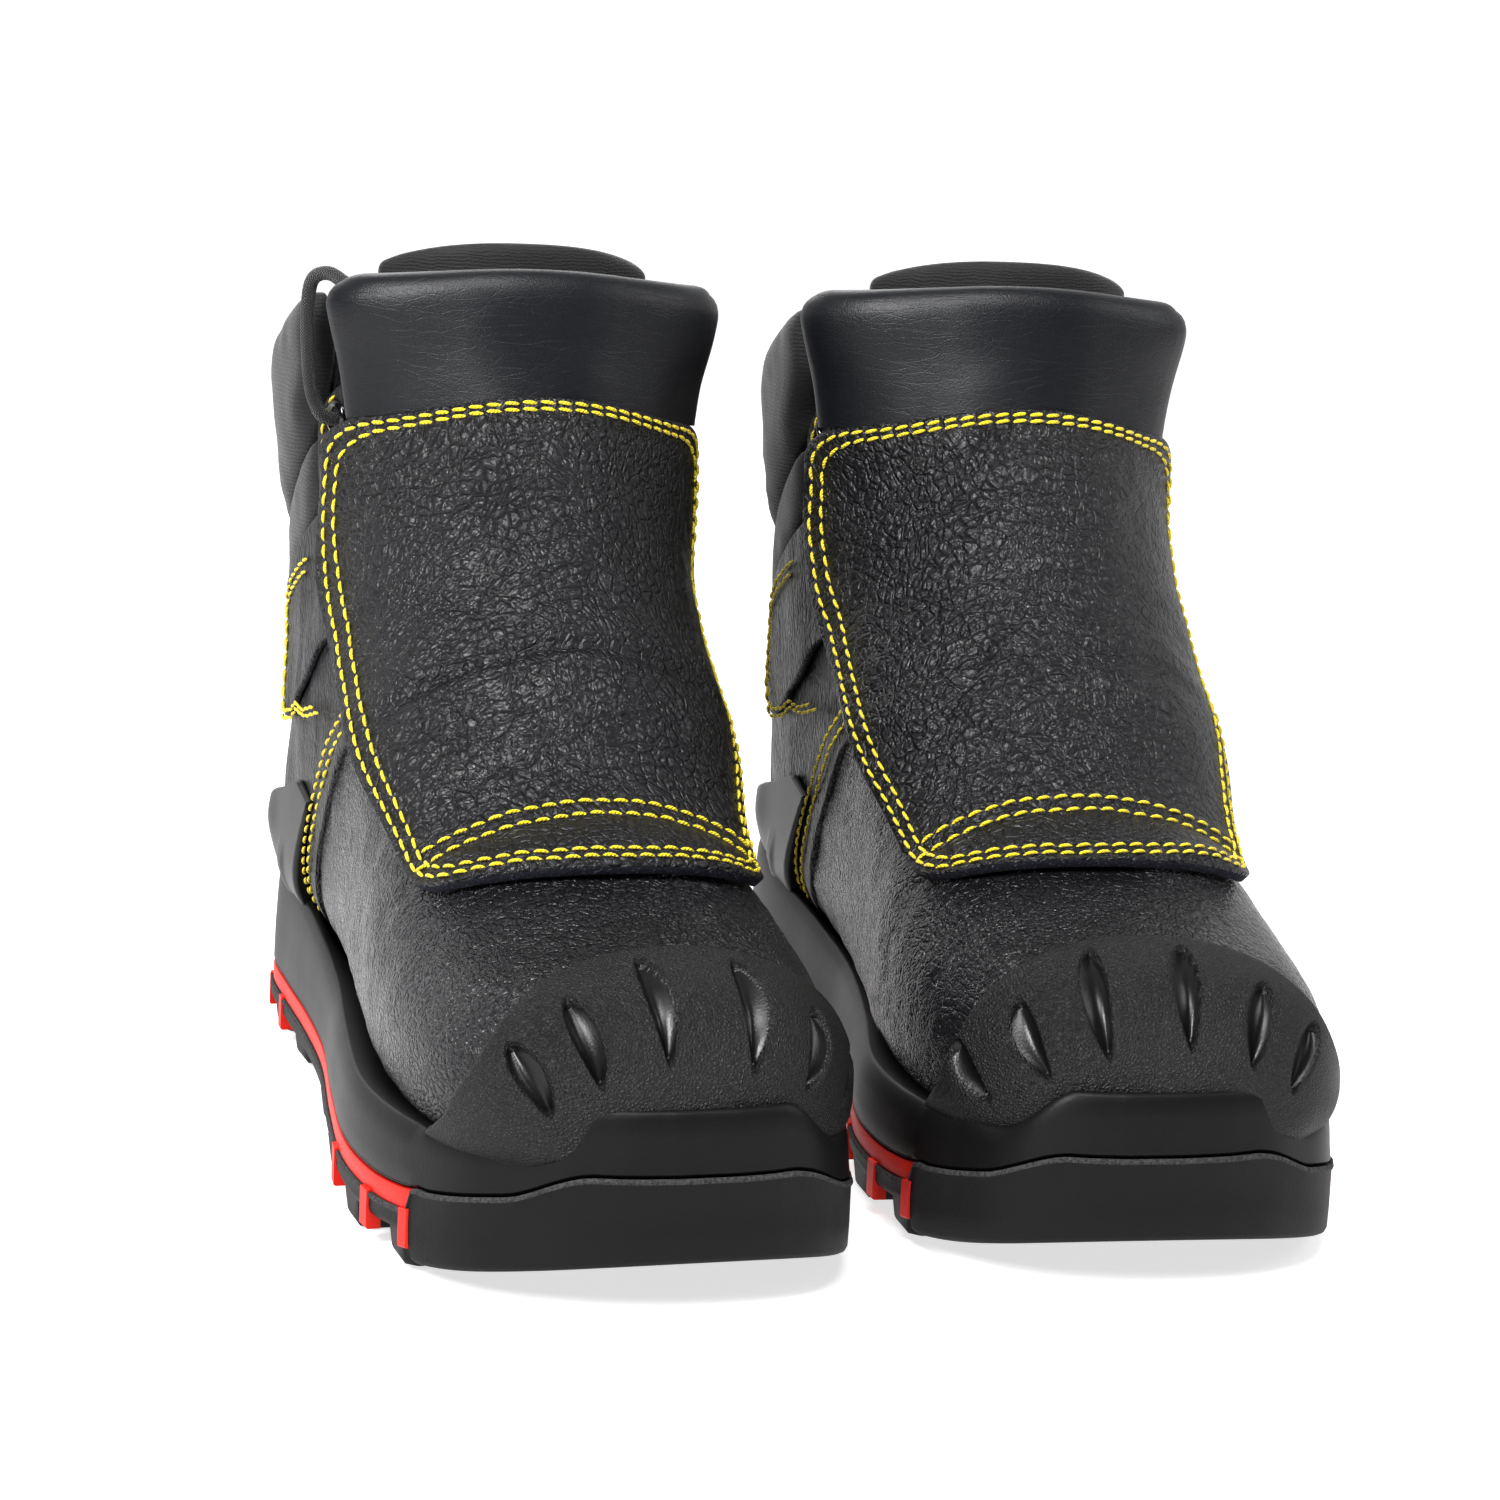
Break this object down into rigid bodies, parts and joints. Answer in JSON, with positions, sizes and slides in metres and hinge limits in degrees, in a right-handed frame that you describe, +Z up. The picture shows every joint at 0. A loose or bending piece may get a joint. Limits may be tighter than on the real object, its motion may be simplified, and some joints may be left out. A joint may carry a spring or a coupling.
{
  "type": "safety boots",
  "caption": "Pair of black leather ankle safety boots for hot work, with a padded leather flap hinged over the laces, a rubber toe guard, a padded collar and a cleated rubber sole.",
  "frame": {"origin": "on the ground, under the middle of the bounding box of the pair", "axes": "+Z up, toes towards -Y, +X towards the outer side of the wearer's left boot"},
  "size_m": [0.249, 0.3138, 0.2268],
  "materials": {
    "outsole_rubber": "matt black moulded rubber",
    "insert_rubber": "matt red moulded rubber",
    "midsole_foam": "matt black moulded polyurethane with a satin rim",
    "guard_rubber": "finely textured matt black rubber",
    "heel_moulding": "smooth satin black moulding",
    "fibre_board": "plain fibre board",
    "cap_steel": "plain pressed steel",
    "eyelet_metal": "gloss black enamel",
    "grained_leather": "black pebble grain, satin",
    "smooth_leather": "smooth black satin leather over padding",
    "collar_microfibre": "black ribbed microfibre",
    "mesh_lining": "black spacer mesh",
    "woven_lace": "black round woven cord",
    "tape": "black hook and loop tape",
    "thread": "bright yellow sewing thread"
  },
  "bodies": {
    "left_boot": {"left_outsole": "outsole_rubber", "left_sole_insert": "insert_rubber", "left_midsole": "midsole_foam", "left_toe_guard": "guard_rubber", "left_heel_stabiliser": "heel_moulding", "left_insole_plate": "fibre_board", "left_footbed": "mesh_lining", "left_toe_cap": "cap_steel", "left_heel_counter": "fibre_board", "left_vamp": "grained_leather", "left_quarter_outer": "grained_leather", "left_quarter_inner": "grained_leather", "left_panel_outer": "grained_leather", "left_panel_inner": "grained_leather", "left_eyestay_outer": "grained_leather", "left_eyestay_inner": "grained_leather", "left_eyelets_outer": "eyelet_metal", "left_eyelets_inner": "eyelet_metal", "left_collar_lower": "collar_microfibre", "left_collar_upper": "collar_microfibre", "left_vamp_lining": "mesh_lining", "left_quarter_lining": "mesh_lining", "left_lace": "woven_lace", "left_flap_lip": "grained_leather"},
    "left_flap": {"left_flap": "grained_leather", "left_flap_pad": "smooth_leather", "left_hook_tape": "tape"},
    "left_tongue": {"left_tongue": "collar_microfibre", "left_loop_tape": "tape"},
    "right_boot": {"right_outsole": "outsole_rubber", "right_sole_insert": "insert_rubber", "right_midsole": "midsole_foam", "right_toe_guard": "guard_rubber", "right_heel_stabiliser": "heel_moulding", "right_insole_plate": "fibre_board", "right_footbed": "mesh_lining", "right_toe_cap": "cap_steel", "right_heel_counter": "fibre_board", "right_vamp": "grained_leather", "right_quarter_outer": "grained_leather", "right_quarter_inner": "grained_leather", "right_panel_outer": "grained_leather", "right_panel_inner": "grained_leather", "right_eyestay_outer": "grained_leather", "right_eyestay_inner": "grained_leather", "right_eyelets_outer": "eyelet_metal", "right_eyelets_inner": "eyelet_metal", "right_collar_lower": "collar_microfibre", "right_collar_upper": "collar_microfibre", "right_vamp_lining": "mesh_lining", "right_quarter_lining": "mesh_lining", "right_lace": "woven_lace", "right_flap_lip": "grained_leather"},
    "right_flap": {"right_flap": "grained_leather", "right_flap_pad": "smooth_leather", "right_hook_tape": "tape"},
    "right_tongue": {"right_tongue": "collar_microfibre", "right_loop_tape": "tape"}
  },
  "joints": [
    {"name": "left_flap_hinge", "type": "hinge", "parent": "left_boot", "child": "left_flap", "pos_m": [0.0644, -0.06557, 0.09629], "axis": [0.9998, -0.0192, 0], "range_deg": [0, 90]},
    {"name": "left_tongue_rock", "type": "hinge", "parent": "left_boot", "child": "left_tongue", "pos_m": [0.06522, -0.02304, 0.11823], "axis": [0.9998, -0.0192, 0], "range_deg": [-10, 0]},
    {"name": "right_flap_hinge", "type": "hinge", "parent": "right_boot", "child": "right_flap", "pos_m": [-0.05817, -0.07424, 0.09629], "axis": [0.9966, 0.0828, 0], "range_deg": [0, 90]},
    {"name": "right_tongue_rock", "type": "hinge", "parent": "right_boot", "child": "right_tongue", "pos_m": [-0.0617, -0.03185, 0.11823], "axis": [0.9966, 0.0828, 0], "range_deg": [-10, 0]},
    {"name": "right_boot_lift", "type": "slide", "parent": "left_boot", "child": "right_boot", "axis": [0, 0, 1], "range_m": [0, 0.25]}
  ]
}
